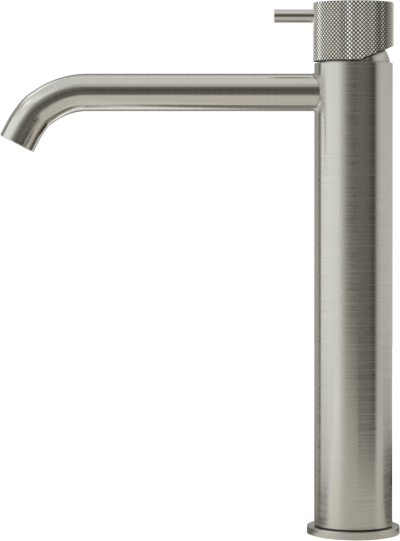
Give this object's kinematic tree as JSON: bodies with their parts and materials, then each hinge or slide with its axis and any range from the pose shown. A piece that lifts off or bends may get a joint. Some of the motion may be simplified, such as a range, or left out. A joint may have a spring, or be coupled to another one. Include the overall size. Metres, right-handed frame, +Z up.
{
  "type": "basin mixer tap",
  "caption": "Tall single-lever basin mixer: round column on a thin flange, level tubular spout bent down at its end, diamond-knurled handle with a pin lever.",
  "frame": {"origin": "on the column's axis at the underside of the base flange", "axes": "+Z up along the column, spout and pin lever towards -X, hot side +Y"},
  "size_m": [0.2351, 0.0546, 0.3118],
  "materials": {
    "brushed_nickel": "brushed",
    "knurled_nickel": "diamond knurled",
    "steel": "plain turned",
    "brass": "machined",
    "copper": "drawn",
    "black_rubber": "matte",
    "cartridge_plastic": "moulded",
    "carrier_plastic": "moulded",
    "ceramic": "lapped",
    "aerator_plastic": "moulded"
  },
  "bodies": {
    "faucet_body": {"base_flange": "brushed_nickel", "base_gasket": "black_rubber", "column_gasket": "black_rubber", "column_shell": "brushed_nickel", "foot_insert": "brass", "hot_riser": "copper", "cold_riser": "copper", "riser_lower_o_rings": "black_rubber", "riser_upper_o_rings": "black_rubber", "valve_body": "brass", "valve_body_o_rings": "black_rubber", "spout_tube": "brushed_nickel", "aerator_housing": "steel", "aerator_flow_former": "aerator_plastic", "aerator_screens": "steel", "aerator_seal": "black_rubber", "cartridge_housing": "cartridge_plastic", "cartridge_base": "cartridge_plastic", "cartridge_lower_seals": "black_rubber", "cartridge_upper_seals": "black_rubber", "fixed_disc": "ceramic", "cartridge_nut": "brass", "dome_cover": "brushed_nickel"},
    "lever_carriage": {"lever_carrier": "carrier_plastic", "pivot_pin": "steel"},
    "handle": {"handle_shell": "knurled_nickel", "lever_pin": "brushed_nickel", "spindle": "brass", "handle_grub_screw": "steel"},
    "disc": {"disc_driver": "carrier_plastic", "moving_disc": "ceramic"}
  },
  "joints": [
    {"name": "temperature_turn", "type": "hinge", "parent": "faucet_body", "child": "lever_carriage", "pos_m": [0, 0, 0.2723], "axis": [0, 0, 1], "range_deg": [-50, 50]},
    {"name": "lever_lift", "type": "hinge", "parent": "lever_carriage", "child": "handle", "pos_m": [0, 0, 0.2723], "axis": [0, 1, 0], "range_deg": [0, 20]},
    {"name": "disc_slide", "type": "slide", "parent": "lever_carriage", "child": "disc", "axis": [1, 0, 0], "range_m": [-0.00315, 0]}
  ],
  "couplings": [
    {"joint": "disc_slide", "follows": "lever_lift", "m_per_rad": -0.0089}
  ]
}
